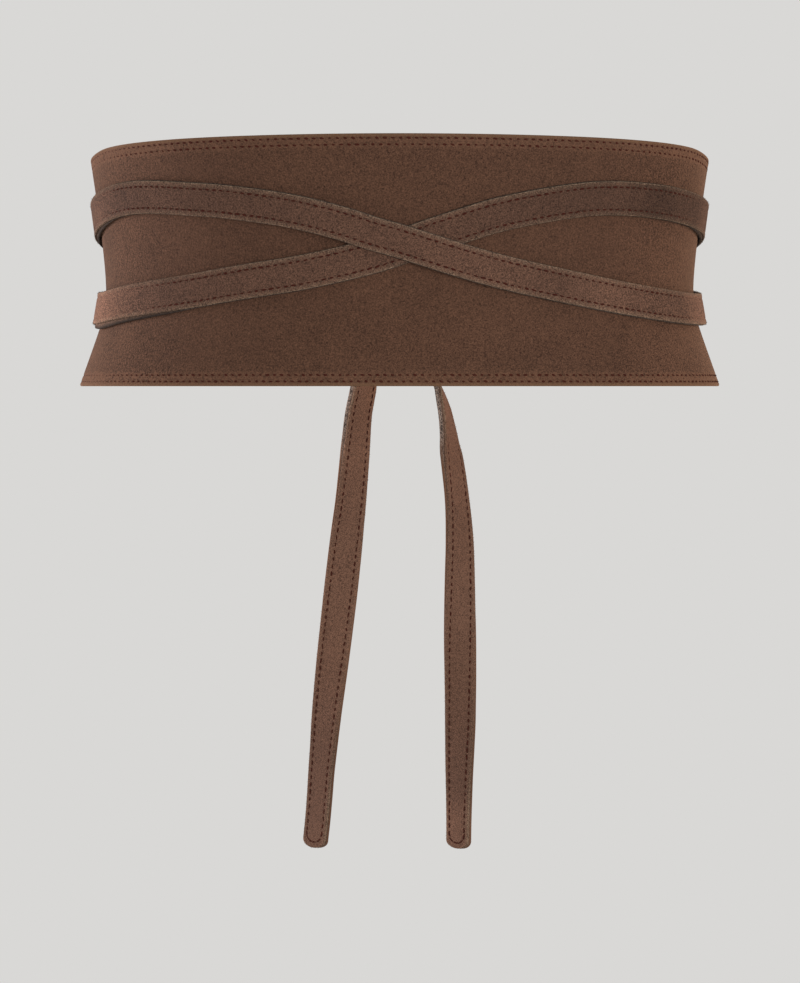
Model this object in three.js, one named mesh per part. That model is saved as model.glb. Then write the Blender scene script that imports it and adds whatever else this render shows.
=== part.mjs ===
// Suede wrap belt worn round an open waist, with its two ties crossed in front and knotted behind.
// Millimetres, +Z up. The front faces -Y, and +X is on the viewer's right.
// Heights in the tables are measured up from the belt's lower edge. The waist's narrowest line,
// where the belt sits, is put at z = 0. Angles go round the waist in degrees: 0 is the middle of
// the front, 90 is the right side, 180 is the middle of the back.
import * as THREE from 'three';

const WAIST_LINE_HEIGHT = 41;
const PANEL_WALL = 2.2;
const PANEL_END_ANGLE = 173.2;
const PANEL_COLUMNS = 90;
const TIE_THICKNESS = 2.6;
const TIE_REST_GAP = 0.45;
const TIE_STEP_ANGLE = 4;
const TAIL_TWIST_LENGTH = 110;
const TAIL_TWIST_STEP = 3;
const TAIL_STRAIGHT_STEP = 10;
const TIP_SHOULDER = 12;
const TIP_ROUNDING = 4;
const BACK_DEPTH = 97.5;
const KNOT_BAND_WIDTH = 8;
const KNOT_BAND_THICKNESS = 2;
const KNOT_CORNER_STEPS = 4;
const SLOPE_REACH = 0.5;
const ROUND_REACH = 0.5;

// The oval form under the panel's outer face, from the lower edge up.
const FORM = {
  height: [-6, 0, 12, 24, 33, 41, 60, 88, 110],
  half_width: [144.6, 142.4, 138.1, 133.9, 131.2, 130.5, 131.8, 135.5, 139.0],
  half_depth_front: [102, 101, 99.5, 98.5, 97.7, 97.5, 98, 100, 102.5],
  half_depth_back: [105, 104, 101.5, 99.5, 98, 97.5, 97.5, 100, 102.5],
};

// How far up the panel each row of its surface lies, as a share of its height there.
const PANEL_ROWS = [0, 0.1, 0.2, 0.3, 0.38, 0.46, 0.56, 0.67, 0.78, 0.89, 1];

// The panel's two long edges. Both ends narrow to a tongue behind, the left one higher.
const PANEL_EDGE = {
  around: [-180, -165, -150, -132, -116, -103, -92, -80, -68, -48, -25, 0,
    25, 48, 68, 80, 92, 103, 116, 132, 150, 165, 180],
  lower: [49.7, 49.4, 42, 25, 10.5, 3, 0, 0, 0, 0, 0, 0,
    0, 0, 0, 0, 0, 2.5, 9, 20.5, 31, 34, 34.1],
  upper: [66.7, 67, 70.5, 78.5, 87.5, 95, 99.4, 102, 104.6, 106.6, 107.7, 108.1,
    107.7, 106.6, 104.6, 102, 99.4, 94.5, 86, 73.5, 58.5, 51.8, 51.1],
};

// The route of the upper tie, from its sewn start behind on the left to the knot. Lift is how far
// it rises above its resting place on the panel, to pass over another strap.
const OVER_ROUTE = {
  width: 14.5,
  around: [205, 180, 165, 155, 150, 135, 120, 105, 90, 78, 64, 49, 38, 28, 20, 13, 6, 0,
    -5, -10, -16, -22, -28, -35, -42, -49, -55, -61, -68, -77, -90, -103, -118, -138, -160, -174],
  height: [58.2, 58.2, 58.2, 57.8, 56.8, 50.5, 43, 36.7, 34.1, 33.6, 34.5, 37.5, 41, 44.9, 48.6, 52.7,
    57.7, 62.2, 65.6, 69.5, 73.2, 76, 78, 79.9, 81, 82, 82.4, 82, 80.6, 77.6, 72.7, 68.7, 65.2, 61,
    57, 55.5],
  lift: [0, 0, 0, 0, 0, 0, 0, 0.3, 0.6, 0.6, 0.3, 0, 0, 0.5, 1.6, 2.8, 3.1, 3.1,
    3.1, 2.8, 1.6, 0.5, 0, 0, 0, 0, 0, 0, 0, 0, 0, 0, 0.4, 2.9, 3.8, 5.5],
};

// The route of the lower tie, from its sewn start behind on the right to the knot.
const UNDER_ROUTE = {
  width: 14.9,
  around: [-205, -180, -165, -155, -135, -120, -105, -90, -77, -64, -52, -42, -34, -27, -20, -14,
    -9, -4, 0, 3, 6, 10, 14, 18, 24, 30, 37, 44, 53, 60, 70, 77, 90, 103, 114, 124, 140, 160,
    173],
  height: [42.6, 42.6, 42, 41.2, 38.8, 36.9, 35, 34.1, 34.3, 36.7, 39, 41.3, 43.8, 46, 48.2, 50.8,
    53.4, 56.4, 59.5, 62, 64.5, 67.6, 70.6, 73.4, 76.4, 78.8, 80.8, 81.4, 80.8, 79.8, 77.8, 76.2,
    72.8, 68.8, 66.2, 64.2, 61, 57, 55.7],
  lift: [0, 0, 0, 0, 0, 0, 0.3, 0.6, 0.6, 0.3, 0, 0, 0, 0, 0, 0, 0, 0, 0, 0, 0, 0, 0, 0, 0, 0, 0, 0, 0,
    0, 0, 0, 0, 0.1, 1.2, 3.1, 3.7, 6.1, 8.8],
};

// From the knot down: the strap's middle, how far it stands out behind the form, its height, the
// way its suede face is turned (180 is backward, 0 is forward, less is to the left) and its width.
// It is gathered in the knot, and it turns all the way down to its rounded tip.
const OVER_TAIL = {
  x: [-9, -4, 0, 4, 7.4, 9.4, 10.2, 10.8, 12, 13.6, 15.7, 18.05, 19.85, 21.3, 22.3, 23.1, 23.7,
    24.6, 25.9, 27, 27.7, 28, 28, 28, 28.05, 28, 27.8, 27.6, 27.5, 27.4, 27.3, 27.2, 27.1],
  out: [7.2, 7.2, 7.2, 7.2, 7.3, 7.6, 8, 8.6, 9.2, 9.8, 10.2, 10.5, 10.8, 11, 11.2, 11.4, 11.5,
    11.6, 11.8, 12, 12, 12, 12, 12, 12, 12, 12, 12, 12, 12, 12, 12, 12],
  height: [55.2, 54.8, 54.6, 54.2, 52, 48, 43, 36, 28, 19, 9, 0, -6.2, -11.7, -17.3, -22.9, -28.4,
    -34, -45.1, -56.3, -67.4, -78.5, -100.8, -120, -145, -156, -167.6, -178.7, -190, -201, -210.8,
    -213.2, -214.6],
  turn: [180, 180, 180, 180, 178, 172, 162, 147, 130, 115, 102, 91, 83, 78, 74, 69, 63, 57.5, 52, 46,
    39.5, 31.5, 15, -3, -22.5, -28.5, -35, -41, -45.5, -48, -48.5, -48.5, -48.5],
  width: [11, 9.2, 9, 9, 9, 9.2, 9.6, 10.6, 11.8, 12.8, 13.6, 14.4, 14.9, 15.2, 15.3, 15.4, 15.5,
    15.5, 15.4, 15, 15.1, 14.8, 14.6, 14.7, 15, 15.3, 15.4, 15.5, 15.5, 15.4, 15.3, 12.4, 7.6],
};
const UNDER_TAIL = {
  x: [9, 4, 0, -4, -7.4, -9.4, -10.2, -10.8, -11.8, -12.9, -14.6, -16.2, -17.4, -18.5, -19.2, -19.7,
    -20.2, -20.7, -21.8, -22.9, -24.2, -25.5, -28.1, -30.1, -33.3, -34.4, -35.4, -36.4, -37.2,
    -38.1, -39.1, -39.3, -39.4],
  out: [10.7, 10.7, 10.7, 10.7, 10.7, 10.7, 10.7, 10.8, 10.9, 11, 11.1, 11.2, 11.3, 11.4, 11.5, 11.6,
    11.7, 11.8, 12, 12, 12, 12, 12, 12, 12, 12, 12, 12, 12, 12, 12, 12, 12],
  height: [55.4, 54.9, 54.6, 54.2, 52, 48, 43, 36, 28, 19, 9, 0, -6.2, -11.7, -17.3, -22.9, -28.4,
    -34, -45.1, -56.3, -67.4, -78.5, -100.8, -117.5, -145.3, -156, -167.6, -178.7, -190, -201,
    -210.4, -212.8, -214.2],
  turn: [180, 180, 180, 180, 177, 170, 158, 138, 112, 88, 67, 52, 49.5, 47.5, 45.5, 43, 40, 37, 30,
    21, 11, 3, -7.5, -15, -31, -36, -41.5, -45, -47, -48, -48.5, -48.5, -48.5],
  width: [11, 9.2, 9, 9, 9, 9.2, 10, 11.4, 13, 14.2, 15.1, 15.6, 15.5, 15.4, 15.5, 15.5, 15.5, 15.4,
    15.2, 14.9, 15, 15.2, 15.5, 15.5, 15.6, 15.6, 15.6, 15.6, 15.7, 15.7, 15.7, 12.6, 7.6],
};

// The knot's band runs in a closed rounded loop round both straps, seen from the side.
const KNOT_LOOP = {
  inner_out: 5.5,
  outer_out: 12.7,
  lower: 45.8,
  upper: 62.2,
  corner: 3,
};

// A smooth curve through a table's column, read at one value of its first column.
function curve(keys, values, at) {
  const rising = keys[keys.length - 1] > keys[0];
  const last = keys.length - 1;
  let i = 0;
  while (i < last - 1 && (rising ? at > keys[i + 1] : at < keys[i + 1])) {
    i += 1;
  }
  const slope = (k) => {
    const before = Math.max(k - 1, 0);
    const after = Math.min(k + 1, last);
    const turns = (values[after] - values[k]) * (values[k] - values[before]) <= 0;
    const level = turns && before < k && k < after;
    return level ? 0 : (values[after] - values[before]) / (keys[after] - keys[before]);
  };
  const span = keys[i + 1] - keys[i];
  const t = Math.min(Math.max((at - keys[i]) / span, 0), 1);
  const t2 = t * t;
  const t3 = t2 * t;
  return (2 * t3 - 3 * t2 + 1) * values[i] + (t3 - 2 * t2 + t) * span * slope(i)
    + (3 * t2 - 2 * t3) * values[i + 1] + (t3 - t2) * span * slope(i + 1);
}

// A point of the form at an angle and a height.
function formPoint(around, height) {
  const angle = THREE.MathUtils.degToRad(around);
  const front = Math.cos(angle) > 0;
  const depth = curve(FORM.height, front ? FORM.half_depth_front : FORM.half_depth_back, height);
  return new THREE.Vector3(
    curve(FORM.height, FORM.half_width, height) * Math.sin(angle),
    -depth * Math.cos(angle),
    height - WAIST_LINE_HEIGHT,
  );
}

// The step that one degree round the form makes there.
function formRound(around, height) {
  return formPoint(around + ROUND_REACH, height).sub(formPoint(around - ROUND_REACH, height));
}

// The form's outward direction there.
function formNormal(around, height) {
  const up = formPoint(around, height + SLOPE_REACH).sub(formPoint(around, height - SLOPE_REACH));
  return formRound(around, height).cross(up).normalize();
}

function outlineGeometry(points, triangles) {
  const geometry = new THREE.BufferGeometry();
  const positions = points.flatMap((p) => [p.x, p.y, p.z]);
  geometry.setAttribute('position', new THREE.Float32BufferAttribute(positions, 3));
  geometry.setIndex(triangles);
  geometry.computeVertexNormals();
  return geometry;
}

// The panel: an outer and an inner sheet of the same rows and columns, joined round the rim. The
// inner sheet lies level with the outer one, so that both long edges are cut level.
function panelGeometry() {
  const rows = PANEL_ROWS.length;
  const columns = PANEL_COLUMNS + 1;
  const outer = [];
  const inner = [];
  for (let c = 0; c < columns; c += 1) {
    const around = -PANEL_END_ANGLE + (2 * PANEL_END_ANGLE * c) / PANEL_COLUMNS;
    const lower = curve(PANEL_EDGE.around, PANEL_EDGE.lower, around);
    const upper = curve(PANEL_EDGE.around, PANEL_EDGE.upper, around);
    for (const share of PANEL_ROWS) {
      const height = lower + (upper - lower) * share;
      const point = formPoint(around, height);
      const level = formNormal(around, height).setZ(0);
      level.divideScalar(level.lengthSq());
      outer.push(point);
      inner.push(point.clone().addScaledVector(level, -PANEL_WALL));
    }
  }
  const triangles = [];
  const quad = (a, b, c, d) => triangles.push(a, b, c, a, c, d);
  const out = (c, r) => c * rows + r;
  const inn = (c, r) => outer.length + c * rows + r;
  for (let c = 0; c + 1 < columns; c += 1) {
    for (let r = 0; r + 1 < rows; r += 1) {
      quad(out(c, r), out(c + 1, r), out(c + 1, r + 1), out(c, r + 1));
      quad(inn(c, r), inn(c, r + 1), inn(c + 1, r + 1), inn(c + 1, r));
    }
    quad(out(c, 0), inn(c, 0), inn(c + 1, 0), out(c + 1, 0));
    quad(out(c, rows - 1), out(c + 1, rows - 1), inn(c + 1, rows - 1), inn(c, rows - 1));
  }
  for (let r = 0; r + 1 < rows; r += 1) {
    quad(out(0, r), out(0, r + 1), inn(0, r + 1), inn(0, r));
    quad(out(columns - 1, r), inn(columns - 1, r), inn(columns - 1, r + 1), out(columns - 1, r + 1));
  }
  return outlineGeometry([...outer, ...inner], triangles);
}

// One cross section of a strap: two corners on its inner face and two on its outer face.
function section(low, high, direction, thickness) {
  return [
    low,
    high,
    high.clone().addScaledVector(direction, thickness),
    low.clone().addScaledVector(direction, thickness),
  ];
}

// A strap's sections where it lies on the form, a little off the panel.
function routeSections(route) {
  const first = route.around[0];
  const last = route.around[route.around.length - 1];
  const steps = Math.round(Math.abs(last - first) / TIE_STEP_ANGLE);
  const ahead = SLOPE_REACH * Math.sign(last - first);
  const place = (around) => ({
    height: curve(route.around, route.height, around),
    stand: TIE_REST_GAP + curve(route.around, route.lift, around),
  });
  const middle = (around) => formPoint(around, place(around).height);
  const sections = [];
  for (let s = 0; s <= steps; s += 1) {
    const around = first + ((last - first) * s) / steps;
    const { height, stand } = place(around);
    const along = middle(around + ahead).sub(middle(around - ahead)).normalize();
    const across = formNormal(around, height).cross(along).normalize();
    const round = formRound(around, height);
    const sideways = across.dot(round) / round.lengthSq();
    const edge = (half) => {
      const edgeAround = around + half * sideways;
      const edgeHeight = height + half * across.z;
      return formPoint(edgeAround, edgeHeight)
        .addScaledVector(formNormal(edgeAround, edgeHeight), stand);
    };
    const low = edge(-route.width / 2);
    const high = edge(route.width / 2);
    const outward = along.clone().cross(high.clone().sub(low)).normalize();
    sections.push(section(low, high, outward, TIE_THICKNESS));
  }
  return sections;
}

// A strap's sections from the knot to its tip, with the suede face turning to the front.
function tailSections(tail) {
  const lengths = [0];
  for (let i = 1; i < tail.x.length; i += 1) {
    const step = Math.hypot(tail.x[i] - tail.x[i - 1], tail.height[i] - tail.height[i - 1]);
    lengths.push(lengths[i - 1] + step);
  }
  const total = lengths[lengths.length - 1];
  const read = (column, at) => curve(lengths, column, at);
  const middle = (at) => new THREE.Vector3(
    read(tail.x, at),
    BACK_DEPTH + read(tail.out, at),
    read(tail.height, at) - WAIST_LINE_HEIGHT,
  );
  const stations = [];
  let reached = 0;
  while (reached < total - TIP_SHOULDER) {
    stations.push(reached);
    reached += reached < TAIL_TWIST_LENGTH ? TAIL_TWIST_STEP : TAIL_STRAIGHT_STEP;
  }
  stations.push(total - TIP_SHOULDER, total - TIP_ROUNDING, lengths[lengths.length - 2], total);
  return stations.map((at) => {
    const ahead = middle(Math.min(at + SLOPE_REACH, total));
    const along = ahead.sub(middle(Math.max(at - SLOPE_REACH, 0))).normalize();
    const turn = THREE.MathUtils.degToRad(read(tail.turn, at));
    const face = new THREE.Vector3(Math.sin(turn), -Math.cos(turn), 0);
    face.addScaledVector(along, -face.dot(along)).normalize();
    const across = face.clone().cross(along).normalize();
    const half = read(tail.width, at) / 2;
    const inside = middle(at).addScaledVector(face, -TIE_THICKNESS / 2);
    const low = inside.clone().addScaledVector(across, -half);
    const high = inside.clone().addScaledVector(across, half);
    return section(low, high, face, TIE_THICKNESS);
  });
}

// Skins a row of cross sections, closed at both ends or joined round into a loop.
function skinGeometry(sections, looped) {
  const points = sections.flat();
  const size = sections[0].length;
  const triangles = [];
  const count = sections.length;
  for (let s = 0; s < (looped ? count : count - 1); s += 1) {
    const here = s * size;
    const next = ((s + 1) % count) * size;
    for (let k = 0; k < size; k += 1) {
      const l = (k + 1) % size;
      triangles.push(here + k, next + l, next + k, here + k, here + l, next + l);
    }
  }
  if (!looped) {
    const end = (count - 1) * size;
    triangles.push(0, 2, 1, 0, 3, 2);
    triangles.push(end, end + 1, end + 2, end, end + 2, end + 3);
  }
  return outlineGeometry(points, triangles);
}

function tieGeometry(route, tail) {
  return skinGeometry([...routeSections(route), ...tailSections(tail)], false);
}

// The knot's band, a loop of one width and thickness round the crossing.
function knotGeometry() {
  const { inner_out, outer_out, lower, upper, corner } = KNOT_LOOP;
  const shape = [
    [inner_out, lower, -1, -1],
    [outer_out, lower, 1, -1],
    [outer_out, upper, 1, 1],
    [inner_out, upper, -1, 1],
  ];
  const sections = [];
  shape.forEach(([out, height, outSide, upSide], index) => {
    for (let k = 0; k <= KNOT_CORNER_STEPS; k += 1) {
      const angle = THREE.MathUtils.degToRad(180 + 90 * (index + k / KNOT_CORNER_STEPS));
      const direction = new THREE.Vector3(0, Math.cos(angle), Math.sin(angle));
      const middle = new THREE.Vector3(
        0,
        BACK_DEPTH + out - outSide * corner,
        height - upSide * corner - WAIST_LINE_HEIGHT,
      );
      const inside = middle.addScaledVector(direction, corner);
      const left = inside.clone().setX(-KNOT_BAND_WIDTH / 2);
      const right = inside.clone().setX(KNOT_BAND_WIDTH / 2);
      sections.push(section(left, right, direction, KNOT_BAND_THICKNESS));
    }
  });
  return skinGeometry(sections, true);
}

function piece(name, geometry, colour) {
  const material = new THREE.MeshStandardMaterial({ color: colour, roughness: 0.95, metalness: 0 });
  const mesh = new THREE.Mesh(geometry, material);
  mesh.name = name;
  return mesh;
}

const belt = new THREE.Group();
belt.name = 'suede_wrap_belt';
belt.add(piece('panel', panelGeometry(), 0x5c4236));
belt.add(piece('tie_over', tieGeometry(OVER_ROUTE, OVER_TAIL), 0x6b4d43));
belt.add(piece('tie_under', tieGeometry(UNDER_ROUTE, UNDER_TAIL), 0x684b42));
belt.add(piece('knot', knotGeometry(), 0x604539));

export default belt;
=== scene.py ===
import math

import bpy
import numpy as np
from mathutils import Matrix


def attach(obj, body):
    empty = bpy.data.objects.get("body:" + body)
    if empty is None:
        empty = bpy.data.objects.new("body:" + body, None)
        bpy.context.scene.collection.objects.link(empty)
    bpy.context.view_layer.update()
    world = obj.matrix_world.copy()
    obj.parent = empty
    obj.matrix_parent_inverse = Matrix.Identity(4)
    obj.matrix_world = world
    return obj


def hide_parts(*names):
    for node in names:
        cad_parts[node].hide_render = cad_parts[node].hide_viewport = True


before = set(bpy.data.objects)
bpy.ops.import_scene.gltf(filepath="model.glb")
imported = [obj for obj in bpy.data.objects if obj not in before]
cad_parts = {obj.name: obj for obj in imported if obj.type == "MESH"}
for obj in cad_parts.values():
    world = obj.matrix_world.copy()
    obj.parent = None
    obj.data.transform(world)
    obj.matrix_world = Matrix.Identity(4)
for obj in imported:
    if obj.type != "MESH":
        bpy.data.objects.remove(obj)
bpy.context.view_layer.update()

# The camera stands 2.6 m in front of the belt, level with its lower edge, and looks very
# slightly down. It is a long lens, so the belt is seen almost without perspective.
camera_data = bpy.data.cameras.new("camera")
camera_data.sensor_width = 36
camera_data.lens = 213.97
camera = bpy.data.objects.new("camera", camera_data)
camera.location = (0.00013, -2.6, -0.041)
camera.rotation_euler = (math.radians(90 - 1.0325), 0, 0)
bpy.context.scene.collection.objects.link(camera)
bpy.context.scene.camera = camera
bpy.context.scene.view_settings.view_transform = "Standard"


# The panel is one wide band of matt suede, about 11 cm tall in front and smooth inside, cut in an
# hourglass so that it hugs the waist. Both ends narrow to a tongue behind, where the ties are sewn
# on. Sizes here are in millimetres, and heights go up from the belt's lower edge.
MM = 0.001
WAIST_LINE_HEIGHT = 41
WAIST_FORM = {
    "height": [-6, 0, 12, 24, 33, 41, 60, 88, 110],
    "half_width": [144.6, 142.4, 138.1, 133.9, 131.2, 130.5, 131.8, 135.5, 139.0],
    "half_depth_front": [102, 101, 99.5, 98.5, 97.7, 97.5, 98, 100, 102.5],
    "half_depth_back": [105, 104, 101.5, 99.5, 98, 97.5, 97.5, 100, 102.5],
}
PANEL_WALL = 2.2
PANEL_END_ANGLE = 173.2
# Its two long edges, at angles in degrees from the middle of the front round to the right.
PANEL_EDGE = {
    "around": [-180, -165, -150, -132, -116, -103, -92, -80, -68, -48, -25, 0,
               25, 48, 68, 80, 92, 103, 116, 132, 150, 165, 180],
    "lower": [49.7, 49.4, 42, 25, 10.5, 3, 0, 0, 0, 0, 0, 0,
              0, 0, 0, 0, 0, 2.5, 9, 20.5, 31, 34, 34.1],
    "upper": [66.7, 67, 70.5, 78.5, 87.5, 95, 99.4, 102, 104.6, 106.6, 107.7, 108.1,
              107.7, 106.6, 104.6, 102, 99.4, 94.5, 86, 73.5, 58.5, 51.8, 51.1],
}
PANEL_SEAM_INSETS = {"lower": (2.05, 4.8), "upper": (1.95, 4.75)}
PANEL_SEAM_END_ANGLE = 153
PANEL_EDGE_ZONE = 7
PANEL_COLUMNS = 430
PANEL_FACE_ROWS = 32
PANEL_INNER_ROWS = 18

# How the panel's faces dip near a cut edge: the outer one rolls over, and each row of stitches
# pulls a shallow groove into it.
PANEL_ROLL = {"inset": [0, 0.2, 0.5, 0.9], "dip": [0.75, 0.42, 0.17, 0.04]}
PANEL_GROOVE = {"inset": [-0.6, -0.3, 0, 0.3, 0.6], "dip": [0.02, 0.13, 0.24, 0.13, 0.02]}


def read_table(keys, values, at):
    """A smooth curve through one column of a table, level where the column turns."""
    keys, values = np.asarray(keys, float), np.asarray(values, float)
    steps, spans = np.diff(values), np.diff(keys)
    slopes = np.empty_like(values)
    slopes[0], slopes[-1] = steps[0] / spans[0], steps[-1] / spans[-1]
    slopes[1:-1] = (values[2:] - values[:-2]) / (keys[2:] - keys[:-2])
    slopes[1:-1][steps[:-1] * steps[1:] <= 0] = 0
    at = np.asarray(at, float)
    i = np.clip(np.searchsorted(keys, at) - 1, 0, len(keys) - 2)
    t = np.clip((at - keys[i]) / spans[i], 0, 1)
    ease = t * t * (3 - 2 * t)
    bend = spans[i] * (t * (1 - t) ** 2 * slopes[i] - t * t * (1 - t) * slopes[i + 1])
    return values[i] + steps[i] * ease + bend


def unit(vectors):
    return vectors / np.linalg.norm(vectors, axis=-1, keepdims=True)


def dot(a, b):
    return (a * b).sum(-1, keepdims=True)


def form_point(around, height):
    """A point of the oval waist form, at an angle round it and a height."""
    angle = np.radians(around)
    front = read_table(WAIST_FORM["height"], WAIST_FORM["half_depth_front"], height)
    back = read_table(WAIST_FORM["height"], WAIST_FORM["half_depth_back"], height)
    depth = np.where(np.cos(angle) > 0, front, back)
    width = read_table(WAIST_FORM["height"], WAIST_FORM["half_width"], height)
    return np.stack([width * np.sin(angle), -depth * np.cos(angle), height - WAIST_LINE_HEIGHT], -1)


def form_round(around, height):
    """The step that one degree round the form makes."""
    return form_point(around + 0.5, height) - form_point(around - 0.5, height)


def form_outward(around, height):
    """The way straight out of the form."""
    up = form_point(around, height + 0.5) - form_point(around, height - 0.5)
    return unit(np.cross(form_round(around, height), up))


def panel_place(around, height, dip):
    """A point of the panel, sunk below its outer face along the level, as a cut edge is."""
    level = form_outward(around, height) * (1, 1, 0)
    return form_point(around, height) - level / dot(level, level) * dip[..., None]


def edge_profile(seams):
    """How far in from a cut edge each point of the panel's face is, and how far it dips."""
    inset, dip = list(PANEL_ROLL["inset"]), list(PANEL_ROLL["dip"])
    for seam in seams:
        inset += [seam + step for step in PANEL_GROOVE["inset"]]
        dip += PANEL_GROOVE["dip"]
    return np.array(inset + [PANEL_EDGE_ZONE]), np.array(dip + [0])


def panel_section(around):
    """The closed outline of the panel's wall at each angle: its height, its dip below the outer
    face, how far it is from the nearest long edge, and whether it is on the inner side."""
    lower = read_table(PANEL_EDGE["around"], PANEL_EDGE["lower"], around)[:, None]
    upper = read_table(PANEL_EDGE["around"], PANEL_EDGE["upper"], around)[:, None]
    low_roll, low_dips = edge_profile(PANEL_SEAM_INSETS["lower"])
    high_roll, high_dips = edge_profile(PANEL_SEAM_INSETS["upper"])
    plain_roll, plain_dips = edge_profile([])
    middle_from = lower + PANEL_EDGE_ZONE
    middle_tall = upper - lower - 2 * PANEL_EDGE_ZONE
    face_shares = np.linspace(0, 1, PANEL_FACE_ROWS + 2)[1:-1]
    inner_shares = np.linspace(1, 0, PANEL_INNER_ROWS + 2)[1:-1]
    height = np.hstack([
        lower + low_roll, middle_from + middle_tall * face_shares, upper - high_roll[::-1],
        upper - plain_roll, middle_from + middle_tall * inner_shares, lower + plain_roll[::-1],
    ])
    inner_roll = PANEL_WALL - plain_dips
    outer_dip = np.hstack([low_dips, 0 * face_shares, high_dips[::-1]])
    inner_dip = np.hstack([inner_roll, 0 * inner_shares + PANEL_WALL, inner_roll[::-1]])
    dip = np.hstack([outer_dip, inner_dip])
    inside = np.hstack([0 * outer_dip, 0 * inner_dip + 1])
    inset = np.minimum(height - lower, upper - height)
    return height, np.broadcast_to(dip, height.shape), inset, np.broadcast_to(inside, height.shape)


def loft(name, rings, attributes):
    """A closed mesh through a row of rings of points, with both end rings filled."""
    count, size = rings.shape[:2]
    here = np.arange(size)
    after = (here + 1) % size
    this_ring = np.arange(count - 1)[:, None] * size
    next_ring = this_ring + size
    quads = [this_ring + here, next_ring + here, next_ring + after, this_ring + after]
    faces = np.stack(quads, -1).reshape(-1, 4).tolist()
    faces.append(here.tolist())
    faces.append((here[::-1] + (count - 1) * size).tolist())
    mesh = bpy.data.meshes.new(name)
    mesh.from_pydata((rings.reshape(-1, 3) * MM).tolist(), [], faces)
    for label, values in attributes.items():
        layer = mesh.attributes.new(label, "FLOAT", "POINT")
        layer.data.foreach_set("value", values.astype(np.float32).ravel())
    mesh.shade_smooth()
    return mesh


# At the two narrow ends the same roll goes round the corner, where a degree is 2.3 mm.
PANEL_END_DEGREE = 2.3
panel_end_steps = np.array(PANEL_ROLL["inset"]) / PANEL_END_DEGREE
panel_around = np.concatenate([
    -PANEL_END_ANGLE + panel_end_steps,
    np.linspace(-PANEL_END_ANGLE + 1, PANEL_END_ANGLE - 1, PANEL_COLUMNS),
    PANEL_END_ANGLE - panel_end_steps[::-1],
])
panel_height, panel_dip, panel_inset, panel_inside = panel_section(panel_around)
panel_end_inset = (PANEL_END_ANGLE - np.abs(panel_around))[:, None] * PANEL_END_DEGREE
panel_end_dip = np.interp(panel_end_inset, *edge_profile([]))
panel_dip = np.clip(panel_dip, panel_end_dip, PANEL_WALL - panel_end_dip)
panel_points = panel_place(panel_around[:, None] + 0 * panel_height, panel_height, panel_dip)
panel_mesh = loft("panel_suede", panel_points, {
    "cut_inset": np.minimum(panel_inset, panel_end_inset),
    "inner_side": panel_inside,
})


def new_object(name, data):
    """An object in the scene, at the origin."""
    made = bpy.data.objects.new(name, data)
    bpy.context.scene.collection.objects.link(made)
    return made


panel = new_object("panel_suede", panel_mesh)


def screen_colour(red, green, blue):
    """A colour given as it is seen on a screen, from 0 to 255, made linear."""
    seen = np.array([red, green, blue]) / 255
    return (*np.where(seen <= 0.04045, seen / 12.92, ((seen + 0.055) / 1.055) ** 2.4).tolist(), 1.0)


def add_node(tree, kind, inputs=(), **settings):
    """A node with its settings and with its inputs linked or set, by their names or places."""
    made = tree.nodes.new(kind)
    for label, value in settings.items():
        setattr(made, label, value)
    for key, value in dict(inputs).items():
        if isinstance(value, bpy.types.NodeSocket):
            tree.links.new(value, made.inputs[key])
        else:
            made.inputs[key].default_value = value
    return made


def object_place(tree):
    return add_node(tree, "ShaderNodeTexCoord").outputs["Object"]


def maths(tree, operation, *values):
    return add_node(tree, "ShaderNodeMath", dict(enumerate(values)), operation=operation).outputs[0]


def times(tree, first, second):
    return maths(tree, "MULTIPLY", first, second)


def times_plus(tree, value, factor, more):
    """The value times the factor, and more added to that."""
    return maths(tree, "MULTIPLY_ADD", value, factor, more)


def either_way(tree, noise):
    """Noise that goes from 0 to 1, made to go evenly either way from nought."""
    return maths(tree, "SUBTRACT", noise, 0.5)


def mixed(tree, factor, first, second):
    """Two colours mixed. They go into the node's sockets 6 and 7, and the mix is its output 2."""
    inputs = {0: factor, 6: first, 7: second}
    return add_node(tree, "ShaderNodeMix", inputs, data_type="RGBA").outputs[2]


def eased(tree, value, low, high):
    """Nought at low, one at high and smooth between, also where low is above high."""
    inputs = {"Value": value, "From Min": low, "From Max": high}
    return add_node(tree, "ShaderNodeMapRange", inputs, interpolation_type="SMOOTHSTEP").outputs[0]


def suede_pattern(tree, grain):
    """The nap's mottling round a middle of 0.5, and each layer of noise in it on its own. Each
    layer is moved, so that no two of them line up."""
    place = object_place(tree)
    mottle, layers = 0.5, []
    for index, (size, weight, detail) in enumerate(grain):
        moved = add_node(tree, "ShaderNodeMapping", {
            "Vector": place, "Location": (1.3 + index * 3.1, index * 1.7, 0),
        })
        noise = add_node(tree, "ShaderNodeTexNoise", {
            "Vector": moved.outputs[0], "Scale": 1 / (size * MM), "Detail": detail,
            "Roughness": 0.55,
        })
        layers.append(noise.outputs[0])
        mottle = times_plus(tree, either_way(tree, layers[-1]), weight, mottle)
    return mottle, layers


def side_lit_grain(tree, mottle, strength):
    """The mottling made stronger toward both sides of the waist, as painted raking light."""
    sideways = add_node(tree, "ShaderNodeSeparateXYZ", {0: object_place(tree)}).outputs[0]
    tight = eased(tree, maths(tree, "ABSOLUTE", sideways), *RAKING_LIGHT_SIDES)
    return times_plus(tree, either_way(tree, mottle), times(tree, tight, strength), mottle)


def nap_height(tree, layers):
    """How high the nap stands, for the bump: the two finest layers of its noise."""
    return times_plus(tree, layers[4], 0.5, layers[3])


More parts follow.
